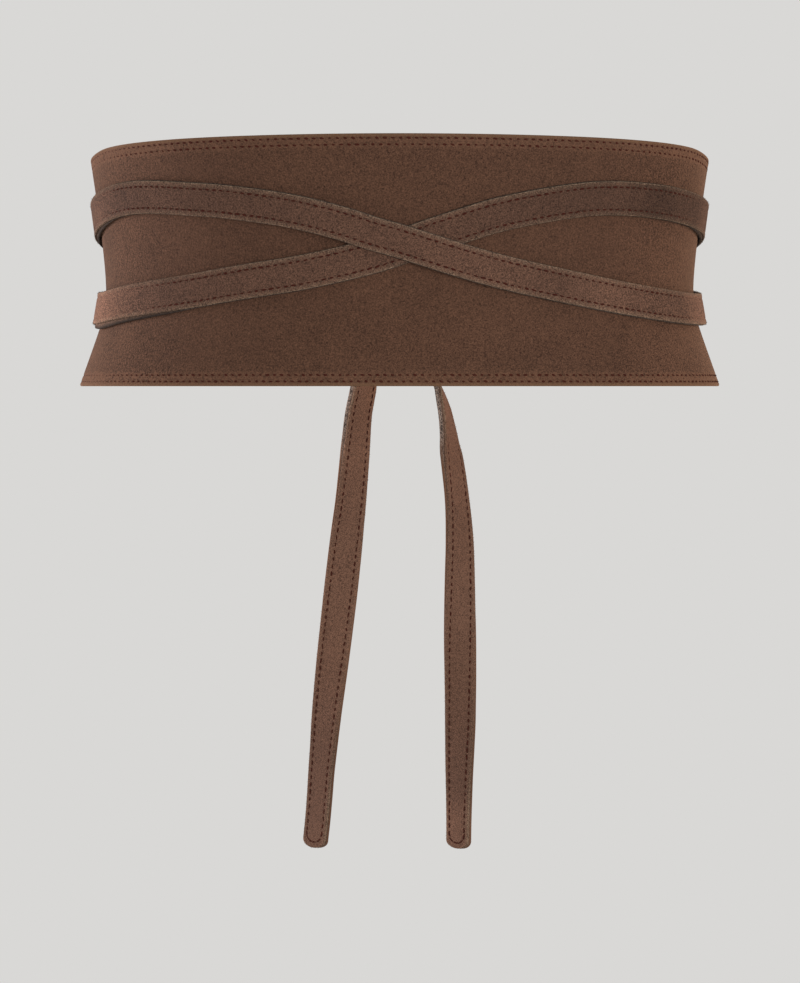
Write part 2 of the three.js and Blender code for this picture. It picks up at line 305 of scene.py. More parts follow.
def suede_shader(tree, colour, height, *, depth, sheen):
    """The finish of brushed suede: quite matt, with a soft sheen where the nap stands on edge."""
    bump = add_node(tree, "ShaderNodeBump", {"Height": height, "Strength": 0.6, "Distance": depth})
    shader = add_node(tree, "ShaderNodeBsdfPrincipled", {
        "Base Color": colour, "Normal": bump.outputs[0], "Roughness": 0.95,
        "Specular IOR Level": 0.12, "Sheen Weight": sheen, "Sheen Roughness": 0.4,
        "Sheen Tint": screen_colour(230, 172, 134),
    })
    add_node(tree, "ShaderNodeOutputMaterial", {"Surface": shader.outputs[0]})


def material_tree(name):
    material = bpy.data.materials.new(name)
    material.use_nodes = True
    material.node_tree.nodes.clear()
    return material, material.node_tree


def attribute_value(tree, label):
    return add_node(tree, "ShaderNodeAttribute", attribute_name=label).outputs["Fac"]


# The grain of the suede, from soft patches to the finest nap. Each layer of noise has the size of
# its features in millimetres, its weight and its detail.
PANEL_GRAIN = [(70, 0.2, 2), (22, 0.25, 2), (4, 0.14, 2), (1.1, 0.8, 2), (0.55, 1.5, 1)]
PANEL_DEEP = screen_colour(32, 19, 13)
PANEL_LIGHT = screen_colour(79, 55, 42)
PANEL_CUT = screen_colour(88, 66, 48)
PANEL_INNER = screen_colour(82, 66, 56)
# How far in from the cut edges, in millimetres, the suede is puckered by the seams and is paler.
PANEL_PUCKERED = (7, 5)
PANEL_PALER = (1.9, 0.4)
# How pale the cut gets, and how far, in millimetres, it frays in and out.
PANEL_PALENESS = 0.5
PANEL_FRAYING = 1.6
# From here to here, in metres out to either side, the grain is painted stronger, as painted
# raking light.
RAKING_LIGHT_SIDES = (0.085, 0.125)
# How much more the grain shows where the suede is puckered, toward the sides as painted raking
# light, and in both.
PANEL_GRAIN_MORE = {"puckered": 0.35, "pulled_and_side_lit": 0.75, "both": 0.6}
panel_material, tree = material_tree("panel_suede")
mottle, layers = suede_pattern(tree, PANEL_GRAIN)
cut_inset = attribute_value(tree, "cut_inset")
near_seams = eased(tree, cut_inset, *PANEL_PUCKERED)
puckered = times(tree, near_seams, layers[3])
mottle = times_plus(tree, puckered, PANEL_GRAIN_MORE["puckered"], mottle)
# Painted raking light toward the sides, stronger still near the seams.
raking_light_strength = times_plus(tree, near_seams, PANEL_GRAIN_MORE["both"], PANEL_GRAIN_MORE["pulled_and_side_lit"])
mottle = side_lit_grain(tree, mottle, raking_light_strength)
suede_colour = mixed(tree, mottle, PANEL_DEEP, PANEL_LIGHT)
frayed = times_plus(tree, either_way(tree, layers[3]), PANEL_FRAYING, cut_inset)
paler = times(tree, eased(tree, frayed, *PANEL_PALER), PANEL_PALENESS)
suede_colour = mixed(tree, paler, suede_colour, PANEL_CUT)
suede_colour = mixed(tree, attribute_value(tree, "inner_side"), suede_colour, PANEL_INNER)
suede_shader(tree, suede_colour, nap_height(tree, layers), depth=0.7 * MM, sheen=0.15)
panel_mesh.materials.append(panel_material)
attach(panel, "root")
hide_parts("panel")


# Two rows of dark reddish thread run along each long edge of the panel, sewn on a machine with a
# stitch every 3 mm or so. Each one is short and thick and lies at a slight slant, sunk in the
# suede, and more so toward the left side.
PANEL_STITCH_PITCH = {"lower": 3.2, "upper": 3.4}
# A stitch's sizes are in millimetres. Its slant, and how far it wanders from that, are in radians.
PANEL_STITCH = {
    "length": 1.85, "width": 1.0, "height": 0.5, "proud": 0.1, "slant": -0.22, "wander": 0.3,
}
PANEL_STITCH_SINK = {"around": [-68, -48], "sink": [0.2, 0]}
PANEL_SEAM_POINTS = 400
# The thinnest and the plumpest stitch, as shares of the length, width and height of a plain one.
STITCH_THINNEST = (0.7, 0.6, 0.6)
STITCH_PLUMPEST = (1.2, 1.15, 1.2)


def geometry_tree(name, inputs):
    """A new tree for a modifier, with a named input for each size."""
    made = bpy.data.node_groups.new(name, "GeometryNodeTree")
    made.is_modifier = True
    made.interface.new_socket("Geometry", in_out="INPUT", socket_type="NodeSocketGeometry")
    for label, kind in inputs.items():
        made.interface.new_socket(label, in_out="INPUT", socket_type="NodeSocket" + kind)
    made.interface.new_socket("Geometry", in_out="OUTPUT", socket_type="NodeSocketGeometry")
    return made, made.nodes.new("NodeGroupInput").outputs


def finish_tree(tree, geometry, material):
    """Ends a tree in real geometry with its material on."""
    real = add_node(tree, "GeometryNodeRealizeInstances", {0: geometry})
    painted = add_node(tree, "GeometryNodeSetMaterial", {
        "Geometry": real.outputs[0], "Material": material,
    })
    add_node(tree, "NodeGroupOutput", {0: painted.outputs[0]})


def named_value(tree, label, kind="FLOAT"):
    made = add_node(tree, "GeometryNodeInputNamedAttribute", {"Name": label}, data_type=kind)
    return made.outputs["Attribute"]


def named_vector(tree, label):
    return named_value(tree, label, "FLOAT_VECTOR")


def joined(tree, **parts):
    """A vector made of its x, y and z."""
    return add_node(tree, "ShaderNodeCombineXYZ", parts).outputs[0]


def random_number(tree, least, most, seed):
    """A number for each point. A float's limits are the node's sockets 2 and 3, and output 1."""
    inputs = {2: least, 3: most, "Seed": seed}
    return add_node(tree, "FunctionNodeRandomValue", inputs, data_type="FLOAT").outputs[1]


def random_vector(tree, least, most, seed):
    inputs = {0: least, 1: most, "Seed": seed}
    return add_node(tree, "FunctionNodeRandomValue", inputs, data_type="FLOAT_VECTOR").outputs[0]


def turned(tree, rotation, angles):
    """A rotation turned further by angles round its own x, y and z."""
    by = add_node(tree, "FunctionNodeEulerToRotation", {0: angles}).outputs[0]
    return add_node(tree, "FunctionNodeRotateRotation", {
        "Rotation": rotation, "Rotate By": by,
    }, rotation_space="LOCAL").outputs[0]


def run_tree(obj, tree, values):
    """Runs a tree on an object and leaves the result as the object's plain mesh."""
    modifier = obj.modifiers.new(tree.name, "NODES")
    modifier.node_group = tree
    for item in tree.interface.items_tree:
        if item.in_out == "INPUT" and item.name in values:
            modifier[item.identifier] = values[item.name]
    bpy.context.view_layer.update()
    depsgraph = bpy.context.evaluated_depsgraph_get()
    mesh = bpy.data.meshes.new_from_object(obj.evaluated_get(depsgraph), depsgraph=depsgraph)
    obj.modifiers.remove(modifier)
    obj.data = mesh
    mesh.name = obj.name
    return obj


def line_object(name, runs, closed=False, **attributes):
    """An object of plain lines, one for each run of points, with values on its points. A closed
    one joins each run's last point to its first."""
    starts = np.cumsum([0] + [len(run) for run in runs[:-1]])
    edges = [(s + i, s + (i + 1) % len(run)) for s, run in zip(starts, runs)
             for i in range(len(run) - (0 if closed else 1))]
    mesh = bpy.data.meshes.new(name)
    mesh.from_pydata((np.concatenate(runs) * MM).tolist(), edges, [])
    for label, values in attributes.items():
        values = np.concatenate(values).astype(np.float32)
        vector = values.ndim == 2
        layer = mesh.attributes.new(label, "FLOAT_VECTOR" if vector else "FLOAT", "POINT")
        layer.data.foreach_set("vector" if vector else "value", values.ravel())
    return new_object(name, mesh)


# Stitches: the line is cut to even steps, and a plump little stitch is set on each, along the line
# and flat on the suede, with a slight change of angle and size from one to the next.
stitch_tree, given = geometry_tree("row_of_stitches", {
    "Pitch": "Float", "Stitch Length": "Float", "Thread Width": "Float", "Thread Height": "Float",
    "Slant": "Float", "Wander": "Float", "Seed": "Int", "Thread": "Material",
})
line = add_node(stitch_tree, "GeometryNodeMeshToCurve", {0: given["Geometry"]})
spaced = add_node(stitch_tree, "GeometryNodeResampleCurve", {
    "Curve": line.outputs[0], "Length": given["Pitch"],
}, mode="LENGTH")
ball = add_node(stitch_tree, "GeometryNodeMeshUVSphere", {
    "Segments": 8, "Rings": 6, "Radius": 0.5,
})
stitch = add_node(stitch_tree, "GeometryNodeTransform", {
    "Geometry": ball.outputs[0], "Scale": joined(
        stitch_tree, X=given["Stitch Length"], Y=given["Thread Width"], Z=given["Thread Height"],
    ),
})
stitch = add_node(stitch_tree, "GeometryNodeSetShadeSmooth", {"Geometry": stitch.outputs[0]})
lie = add_node(stitch_tree, "FunctionNodeAxesToRotation", {
    "Primary Axis": add_node(stitch_tree, "GeometryNodeInputTangent").outputs[0],
    "Secondary Axis": named_vector(stitch_tree, "outward"),
}, primary_axis="X", secondary_axis="Z")
least_turn = maths(stitch_tree, "SUBTRACT", given["Slant"], given["Wander"])
most_turn = maths(stitch_tree, "ADD", given["Slant"], given["Wander"])
turn = random_number(stitch_tree, least_turn, most_turn, given["Seed"])
plump = random_vector(stitch_tree, STITCH_THINNEST, STITCH_PLUMPEST, given["Seed"])
sewn = add_node(stitch_tree, "GeometryNodeInstanceOnPoints", {
    "Points": spaced.outputs[0], "Instance": stitch.outputs[0],
    "Rotation": turned(stitch_tree, lie.outputs[0], joined(stitch_tree, Z=turn)), "Scale": plump,
})
finish_tree(stitch_tree, sewn.outputs[0], given["Thread"])


def sew(seam, stitch, seed):
    """Turns the lines of an object into rows of stitches of this kind."""
    run_tree(seam, stitch_tree, {
        "Pitch": stitch["pitch"] * MM, "Stitch Length": stitch["length"] * MM,
        "Thread Width": stitch["width"] * MM, "Thread Height": stitch["height"] * MM,
        "Slant": stitch["slant"], "Wander": stitch["wander"], "Seed": seed,
        "Thread": thread_material,
    })


THREAD_DEEP = screen_colour(30, 10, 7)
THREAD_LIGHT = screen_colour(58, 27, 20)
THREAD_STRAND = 0.3
thread_material, tree = material_tree("dark_thread")
strands = add_node(tree, "ShaderNodeTexNoise", {
    "Vector": object_place(tree), "Scale": 1 / (THREAD_STRAND * MM), "Detail": 1,
}).outputs[0]
twist = add_node(tree, "ShaderNodeBump", {
    "Height": strands, "Strength": 0.5, "Distance": 0.1 * MM,
})
thread_shader = add_node(tree, "ShaderNodeBsdfPrincipled", {
    "Base Color": mixed(tree, strands, THREAD_DEEP, THREAD_LIGHT), "Normal": twist.outputs[0],
    "Roughness": 0.9, "Specular IOR Level": 0.05,
})
add_node(tree, "ShaderNodeOutputMaterial", {"Surface": thread_shader.outputs[0]})

seam_around = np.linspace(-PANEL_SEAM_END_ANGLE, PANEL_SEAM_END_ANGLE, PANEL_SEAM_POINTS)
seam_sink = np.interp(seam_around, PANEL_STITCH_SINK["around"], PANEL_STITCH_SINK["sink"])
seam_dip = max(PANEL_GROOVE["dip"]) - PANEL_STITCH["proud"] + seam_sink
for edge, upward, seed in (("lower", 1, 3), ("upper", -1, 4)):
    edge_height = read_table(PANEL_EDGE["around"], PANEL_EDGE[edge], seam_around)
    seam_runs, seam_outward = [], []
    for inset in PANEL_SEAM_INSETS[edge]:
        seam_height = edge_height + upward * inset
        seam_runs.append(panel_place(seam_around, seam_height, seam_dip))
        seam_outward.append(form_outward(seam_around, seam_height))
    seam = line_object("panel_stitches_" + edge, seam_runs, outward=seam_outward)
    sew(seam, PANEL_STITCH | {"pitch": PANEL_STITCH_PITCH[edge]}, seed)
    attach(seam, "root")


# Each tie is a long narrow strap of two plies, brown suede on a dark backing, stitched together
# along both edges and left raw there. One end is sewn to the panel's tongue behind. It goes once
# round the waist, over the front, and through the knot, and the rest hangs.
TIE_THICKNESS = 2.6
TIE_REST_GAP = 0.45
TIE_BACK_DEPTH = 97.5
TIE_STEP = 1.5
TIE_SEAM_INSET = 2.6
TIE_SEAM_STEP = 1.2
# The last stretch of each tie, which hangs: its finish and its painted light and shade change along
# it, from the knot to its tip.
TIE_HANGING = 262
# The box with a cross that sews each tie's start down: from and to, each as a length along the
# tie and a share of the way out from its middle to its seams.
TIE_START_LINES = [
    ((3, -1), (3, 1)), ((21, -1), (21, 1)), ((3, -1), (21, 1)), ((3, 1), (21, -1)),
]
TIE_START_POINTS = 12
TIE_STITCH = {
    "pitch": 3.4, "length": 2.3, "width": 0.85, "height": 0.6, "proud": 0.18, "slant": 0.0,
    "wander": 0.2,
}
# How high each face of a tie is at its seams, as a share of the thickness.
TIE_SEAM_RISE = {"outer": 0.925, "inner": 0.07}
# How much deeper the stitches lie where a tie is pulled tight round the side of the waist: from
# and to which share of its face that looks sideways, and beside how much slip of its backing.
TIE_SIDE_SINK = 0.42
TIE_SIDEWAYS = (0.76, 0.92)
TIE_PULLED_SLIP = 1.3
# Where a strap is narrower than twice this, both of its edges shrink in step with its width.
TIE_FULL_EDGE = 5.6
# A route is the strap's height and its lift off the form at angles round the waist, with how far
# its backing slips down past the suede, and a shade on its plain colour that is painted light and
# shade, partly the lie of its nap and partly the light that falls there. It is first read every
# half degree.
ROUTE_DEGREES = 0.5
OVER_ROUTE = {
    "width": 14.5,
    "around": [205, 180, 165, 155, 150, 135, 120, 105, 90, 78, 64, 49, 38, 28, 20, 13, 6, 0,
               -5, -10, -16, -22, -28, -35, -42, -49, -55, -61, -68, -77, -90, -103, -118, -138,
               -160, -174],
    "height": [58.2, 58.2, 58.2, 57.8, 56.8, 50.5, 43, 36.7, 34.1, 33.6, 34.5, 37.5, 41, 44.9,
               48.6, 52.7, 57.7, 62.2, 65.6, 69.5, 73.2, 76, 78, 79.9, 81, 82, 82.4, 82, 80.6,
               77.6, 72.7, 68.7, 65.2, 61, 57, 55.5],
    "lift": [0, 0, 0, 0, 0, 0, 0, 0.3, 0.6, 0.6, 0.3, 0, 0, 0.5, 1.6, 2.8, 3.1, 3.1, 3.1, 2.8,
             1.6, 0.5, 0, 0, 0, 0, 0, 0, 0, 0, 0, 0, 0.4, 2.9, 3.8, 5.5],
    "slip": {"around": [-125, -102, -84, -68], "down": [0, 1.3, 1.2, 0]},
    "nap": {"around": [-110, -75, -64, -52, -41, -24, -7, 0, 12, 20, 30, 41, 47, 56, 66, 80, 90,
                       115],
            "shade": [1, 1.11, 0.73, 0.83, 0.88, 0.93, 1.01, 0.98, 1.12, 1.15, 0.93, 1.27, 1.21,
                      1.03, 0.94, 1.95, 2.1, 1.1]},
}
UNDER_ROUTE = {
    "width": 14.9,
    "around": [-205, -180, -165, -155, -135, -120, -105, -90, -77, -64, -52, -42, -34, -27, -20,
               -14, -9, -4, 0, 3, 6, 10, 14, 18, 24, 30, 37, 44, 53, 60, 70, 77, 90, 103, 114,
               124, 140, 160, 173],
    "height": [42.6, 42.6, 42, 41.2, 38.8, 36.9, 35, 34.1, 34.3, 36.7, 39, 41.3, 43.8, 46, 48.2,
               50.8, 53.4, 56.4, 59.5, 62, 64.5, 67.6, 70.6, 73.4, 76.4, 78.8, 80.8, 81.4, 80.8,
               79.8, 77.8, 76.2, 72.8, 68.8, 66.2, 64.2, 61, 57, 55.7],
    "lift": [0, 0, 0, 0, 0, 0, 0.3, 0.6, 0.6, 0.3, 0, 0, 0, 0, 0, 0, 0, 0, 0, 0, 0, 0, 0, 0, 0,
             0, 0, 0, 0, 0, 0, 0, 0, 0.1, 1.2, 3.1, 3.7, 6.1, 8.8],
    "slip": {"around": [-102, -92, -78, -62, -50, -42, 72, 84, 102, 120],
             "down": [0, 1, 2, 1.3, 0.8, 0, 0, 1, 1.2, 0]},
    "nap": {"around": [-110, -80, -75, -66, -50, -38, -22, -12, 13, 20, 35, 44, 55, 64, 72, 80,
                       95, 120],
            "shade": [1, 2.25, 2.16, 1.36, 0.85, 0.98, 0.99, 1.01, 0.87, 0.86, 0.71, 0.75, 0.5,
                      0.66, 0.65, 1.05, 1.2, 1]},
}
OVER_TAIL = {
    "x": [-9, -4, 0, 4, 7.4, 9.4, 10.2, 10.8, 12, 13.6, 15.7, 18.05, 19.85, 21.3, 22.3, 23.1,
          23.7, 24.6, 25.9, 27, 27.7, 28, 28, 28, 28.05, 28, 27.8, 27.6, 27.5, 27.4, 27.3, 27.2,
          27.1],
    "out": [7.2, 7.2, 7.2, 7.2, 7.3, 7.6, 8, 8.6, 9.2, 9.8, 10.2, 10.5, 10.8, 11, 11.2, 11.4,
            11.5, 11.6, 11.8, 12, 12, 12, 12, 12, 12, 12, 12, 12, 12, 12, 12, 12, 12],
    "height": [55.2, 54.8, 54.6, 54.2, 52, 48, 43, 36, 28, 19, 9, 0, -6.2, -11.7, -17.3, -22.9,
               -28.4, -34, -45.1, -56.3, -67.4, -78.5, -100.8, -120, -145, -156, -167.6, -178.7,
               -190, -201, -210.8, -213.2, -214.6],
    "turn": [180, 180, 180, 180, 178, 172, 162, 147, 130, 115, 102, 91, 83, 78, 74, 69, 63, 57.5,
             52, 46, 39.5, 31.5, 15, -3, -22.5, -28.5, -35, -41, -45.5, -48, -48.5, -48.5, -48.5],
    "width": [11, 9.2, 9, 9, 9, 9.2, 9.6, 10.6, 11.8, 12.8, 13.6, 14.4, 14.9, 15.2, 15.3, 15.4,
              15.5, 15.5, 15.4, 15, 15.1, 14.8, 14.6, 14.7, 15, 15.3, 15.4, 15.5, 15.5, 15.4, 15.3,
              15.3, 15.3],
    # Painted light and shade by height, partly the nap's lie: painted lighter near the top, where
    # the belt above would shade it.
    "nap": {"height": [-214, -201, -187, -173, -155, -136, -118, -99, -62, -43, -32, -20, -8, 50],
            "shade": [1.03, 1.12, 0.8, 0.86, 0.96, 1.03, 1.09, 1.18, 1.08, 1.26, 1.25, 1.48, 1.78,
                      1]},
}
UNDER_TAIL = {
    "x": [9, 4, 0, -4, -7.4, -9.4, -10.2, -10.8, -11.8, -12.9, -14.6, -16.2, -17.4, -18.5,
          -19.2, -19.7, -20.2, -20.7, -21.8, -22.9, -24.2, -25.5, -28.1, -30.1, -33.3, -34.4,
          -35.4, -36.4, -37.2, -38.1, -39.1, -39.3, -39.4],
    "out": [10.7, 10.7, 10.7, 10.7, 10.7, 10.7, 10.7, 10.8, 10.9, 11, 11.1, 11.2, 11.3, 11.4,
            11.5, 11.6, 11.7, 11.8, 12, 12, 12, 12, 12, 12, 12, 12, 12, 12, 12, 12, 12, 12, 12],
    "height": [55.4, 54.9, 54.6, 54.2, 52, 48, 43, 36, 28, 19, 9, 0, -6.2, -11.7, -17.3, -22.9,
               -28.4, -34, -45.1, -56.3, -67.4, -78.5, -100.8, -117.5, -145.3, -156, -167.6,
               -178.7, -190, -201, -210.4, -212.8, -214.2],
    "turn": [180, 180, 180, 180, 177, 170, 158, 138, 112, 88, 67, 52, 49.5, 47.5, 45.5, 43, 40, 37,
             30, 21, 11, 3, -7.5, -15, -31, -36, -41.5, -45, -47, -48, -48.5, -48.5, -48.5],
    "width": [11, 9.2, 9, 9, 9, 9.2, 10, 11.4, 13, 14.2, 15.1, 15.6, 15.5, 15.4, 15.5, 15.5, 15.5,
              15.4, 15.2, 14.9, 15, 15.2, 15.5, 15.5, 15.6, 15.6, 15.6, 15.6, 15.7, 15.7, 15.7,
              15.7, 15.7],
    # Painted light and shade by height, partly the nap's lie: painted lighter near the top, where
    # the belt above would shade it.
    "nap": {"height": [-214, -173, -155, -118, -81, -62, -43, -30, -18, 0, 50],
            "shade": [0.87, 0.83, 0.96, 1.24, 1.24, 1.21, 1.26, 1.52, 1.41, 1.87, 1]},
}
# A tail hangs sideways by x, stands out from the back and turns its face forward as it goes down.
# Its two plies spread below the knot, as a share of the thickness.
TAIL_SPLAY = {"height": [-48, -30, 5, 40, 52], "splay": [0, 0.32, 0.38, 0.2, 0]}
# A tie's tip is rounded over its last few millimetres, in steps of their own, and the even steps
# end at least the clear length before them. The line of stitches turns there in so many points.
TIE_TIP_LENGTH = 3.8
TIE_TIP_SQUARENESS = 2.1
TIE_TIP_STEPS = 9
TIE_TIP_CLEAR = 0.4
TIE_TIP_SEAM_POINTS = 13
# How far to each side of the start of its tail, and in how many rounds, a tie is eased.
KNOT_EASE = 8
KNOT_EASE_ROUNDS = 12


def route_stations(route):
    """Where a tie lies on the waist: the middle of its inner face, the way across it, the way out
    of it, half its width, how far its backing slips across and spreads, and its painted light and
    shade, partly the nap's lie."""
    turn = int(np.sign(route["around"][-1] - route["around"][0]))
    step = ROUTE_DEGREES * turn
    around = np.arange(route["around"][0], route["around"][-1], step)
    keys, heights, lifts = (route[label][::turn] for label in ("around", "height", "lift"))

    def middle(at):
        return form_point(at, read_table(keys, heights, at))

    height = read_table(keys, heights, around)
    stand = TIE_REST_GAP + read_table(keys, lifts, around)
    along = unit(middle(around + step) - middle(around - step))
    across = unit(np.cross(form_outward(around, height), along))
    one_degree = form_round(around, height)
    sideways = (dot(across, one_degree) / dot(one_degree, one_degree))[:, 0]

    def edge(half):
        at, up = around + half * sideways, height + half * across[:, 2]
        return form_point(at, up) + form_outward(at, up) * stand[:, None]

    low, high = edge(-route["width"] / 2), edge(route["width"] / 2)
    half_width = np.linalg.norm(high - low, axis=1) / 2
    down = np.interp(around, route["slip"]["around"], route["slip"]["down"])
    slip = -down * np.sign(across[:, 2])
    outward = unit(np.cross(along, high - low))
    nap = np.interp(around, route["nap"]["around"], route["nap"]["shade"])
    middles = (low + high) / 2
    return np.column_stack([middles, unit(high - low), outward, half_width, slip, 0 * slip, nap])


def tail_stations(tail):
    """The same for the part that goes through the knot and hangs, with its face turning forward."""
    x, height = np.array(tail["x"]), np.array(tail["height"])
    lengths = np.concatenate([[0], np.cumsum(np.hypot(np.diff(x), np.diff(height)))])
    total = lengths[-1]

    def middle(at):
        return np.column_stack([
            read_table(lengths, x, at),
            TIE_BACK_DEPTH + read_table(lengths, tail["out"], at),
            read_table(lengths, height, at) - WAIST_LINE_HEIGHT,
        ])

    at = np.append(np.arange(0, total, 1.0), total)
    along = unit(middle(np.minimum(at + 0.5, total)) - middle(np.maximum(at - 0.5, 0)))
    turn = np.radians(read_table(lengths, tail["turn"], at))
    face = np.column_stack([np.sin(turn), -np.cos(turn), 0 * turn])
    face = unit(face - along * dot(face, along))
    inner = middle(at) - face * TIE_THICKNESS / 2
    reached = read_table(lengths, height, at)
    splay = np.interp(reached, TAIL_SPLAY["height"], TAIL_SPLAY["splay"])
    nap = np.interp(reached, tail["nap"]["height"], tail["nap"]["shade"])
    half_width = read_table(lengths, tail["width"], at) / 2
    across = unit(np.cross(face, along))
    return np.column_stack([inner, across, face, half_width, 0 * at, splay, nap])


def tie_stations(route, tail):
    """Both parts as one run of even steps, eased where the strap gathers into the knot, with its
    end rounded."""
    lying = route_stations(route)
    columns = np.concatenate([lying, tail_stations(tail)])
    steps = np.linalg.norm(np.diff(columns[:, :3], axis=0), axis=1)
    lengths = np.concatenate([[0], np.cumsum(steps)])
    total = lengths[-1]
    tip = total - TIE_TIP_LENGTH * (1 - np.sin(np.linspace(0, math.pi / 2, TIE_TIP_STEPS)))
    even = np.linspace(0, total, int(total / TIE_STEP) + 1)
    even = np.append(even[even < tip[0] - TIE_TIP_CLEAR], tip)
    columns = np.column_stack([np.interp(even, lengths, column) for column in columns.T])
    near = np.exp(-((even - lengths[len(lying)]) / KNOT_EASE) ** 2)[:, None] * 0.5
    for _ in range(KNOT_EASE_ROUNDS):
        between = columns.copy()
        between[1:-1] = (columns[:-2] + columns[2:]) / 2
        columns += (between - columns) * near
    centre, across, outward, singles = np.split(columns, [3, 6, 9], axis=1)
    half_width, slip, splay, nap = singles.T
    # The very tip keeps a little width, so that no face there is without area.
    past = np.clip((even - tip[0]) / TIE_TIP_LENGTH, 0, 1)
    rounding = (1 - past ** TIE_TIP_SQUARENESS * 0.999) ** (1 / TIE_TIP_SQUARENESS)
    return {
        "at": even, "centre": centre, "across": unit(across), "outward": unit(outward),
        "half_width": half_width * rounding, "slip": slip, "splay": splay, "nap": nap,
    }


# The strap's cross section, from the middle of its inner face round one edge to the middle of its
# outer face: the inset from the edge, the rise as a share of the thickness, how raw the suede is
# there, and whether it is the dark backing. The backing is cut a little wider than the suede, the
# two part at the edge, and a groove lies at each row of stitches.
TIE_SECTION = [
    (7, 0, 0, 1), (3.3, 0.02, 0, 1), (2.6, 0.07, 0, 1), (1.9, 0.02, 0, 1), (0.7, 0.02, 0, 1),
    (0.15, 0.06, 0, 1), (-0.1, 0.17, 0, 1), (-0.15, 0.3, 0, 1), (-0.08, 0.44, 0, 1),
    (0.15, 0.52, 0, 0.95), (0.5, 0.56, 0, 0.6), (0.47, 0.61, 0.4, 0), (0.22, 0.66, 1, 0),
    (0.15, 0.74, 1, 0), (0.18, 0.84, 1, 0), (0.32, 0.93, 0.7, 0), (0.6, 0.985, 0.3, 0),
    (1, 1, 0.1, 0), (1.6, 1, 0, 0), (2.1, 0.985, 0, 0), (2.4, 0.945, 0, 0), (2.6, 0.925, 0, 0),
    (2.8, 0.945, 0, 0), (3.2, 0.975, 0, 0), (4, 0.985, 0, 0), (5.4, 0.985, 0, 0), (7, 0.985, 0, 0),
]
one_side = np.array(TIE_SECTION)
both_sides = np.concatenate([one_side, one_side[-2:0:-1]])
side = np.where(np.arange(len(both_sides)) < len(one_side), 1.0, -1.0)
side[[0, len(one_side) - 1]] = 0
ring = np.linspace(0, 2 * math.pi, len(both_sides), endpoint=False)
tie_section = line_object(
    "tie_section", [np.stack([np.cos(ring), np.sin(ring), 0 * ring], -1)], closed=True, side=[side],
    inset=[both_sides[:, 0] * MM], rise=[both_sides[:, 1]], raw=[both_sides[:, 2]],
    backing=[both_sides[:, 3]],
)


def scaled(tree, vector, by):
    """A vector or a colour made longer or lighter."""
    inputs = {0: vector, "Scale": by}
    return add_node(tree, "ShaderNodeVectorMath", inputs, operation="SCALE").outputs[0]


def added(tree, first, second):
    inputs = {0: first, 1: second}
    return add_node(tree, "ShaderNodeVectorMath", inputs, operation="ADD").outputs[0]


# Strap: the section is swept along the line, and each point of it is then put at its inset from
# the strap's edge and at its rise, so that the width can change and the edges keep their form.
strap_tree, given = geometry_tree("strap", {
    "Section": "Object", "Thickness": "Float", "Full Edge Width": "Float", "Suede": "Material",
})
line = add_node(strap_tree, "GeometryNodeMeshToCurve", {0: given["Geometry"]})
section_shape = add_node(strap_tree, "GeometryNodeObjectInfo", {"Object": given["Section"]})
section_line = add_node(strap_tree, "GeometryNodeMeshToCurve", {
    0: section_shape.outputs["Geometry"],
})
swept = add_node(strap_tree, "GeometryNodeCurveToMesh", {
    "Curve": line.outputs[0], "Profile Curve": section_line.outputs[0], "Fill Caps": True,
})
half_width = named_value(strap_tree, "half_width")
narrowness = maths(strap_tree, "DIVIDE", half_width, given["Full Edge Width"])
shrink = maths(strap_tree, "MINIMUM", narrowness, 1.0)
inset = times(strap_tree, named_value(strap_tree, "inset"), shrink)
reach = maths(strap_tree, "SUBTRACT", half_width, inset)
reach = times(strap_tree, reach, named_value(strap_tree, "side"))
backing = named_value(strap_tree, "backing")
reach = times_plus(strap_tree, backing, named_value(strap_tree, "slip"), reach)
spread = times(strap_tree, backing, named_value(strap_tree, "splay"))
rise = maths(strap_tree, "SUBTRACT", named_value(strap_tree, "rise"), spread)
rise = times(strap_tree, rise, given["Thickness"])
sideways = scaled(strap_tree, named_vector(strap_tree, "across"), reach)
outwards = scaled(strap_tree, named_vector(strap_tree, "outward"), rise)
offset = added(strap_tree, sideways, outwards)
shaped = add_node(strap_tree, "GeometryNodeSetPosition", {
    "Geometry": swept.outputs[0],
    "Position": added(strap_tree, offset, named_vector(strap_tree, "centre")),
})
shaped = add_node(strap_tree, "GeometryNodeSetShadeSmooth", {"Geometry": shaped.outputs[0]})
finish_tree(strap_tree, shaped.outputs[0], given["Suede"])

# Fuzz: fine fibres stand out of the raw edges, each a thin tapered splinter leaning its own way.
# Their number is to the square metre, their sizes are in millimetres, and the lean is in radians.
TIE_FUZZ = {"density": 2.4e6, "length": 0.7, "width": 0.05, "lean": 0.9}
# The smallest and the largest fibre, as shares of that size.
FUZZ_SIZES = (0.4, 1.2)
fuzz_tree, given = geometry_tree("raw_edge_fuzz", {
    "Density": "Float", "Fibre Length": "Float", "Fibre Width": "Float", "Lean": "Float",
    "Seed": "Int", "Suede": "Material",
})
thickness = times(fuzz_tree, given["Density"], named_value(fuzz_tree, "raw"))
roots = add_node(fuzz_tree, "GeometryNodeDistributePointsOnFaces", {
    "Mesh": given["Geometry"], "Density": thickness, "Seed": given["Seed"],
}, distribute_method="RANDOM")
fibre = add_node(fuzz_tree, "GeometryNodeMeshCone", {
    "Vertices": 3, "Radius Top": 0.0, "Radius Bottom": given["Fibre Width"],
    "Depth": given["Fibre Length"],
}, fill_type="NGON")
other_way = times(fuzz_tree, given["Lean"], -1.0)
least_lean = joined(fuzz_tree, X=other_way, Y=other_way)
most_lean = joined(fuzz_tree, X=given["Lean"], Y=given["Lean"])
lean = random_vector(fuzz_tree, least_lean, most_lean, given["Seed"])
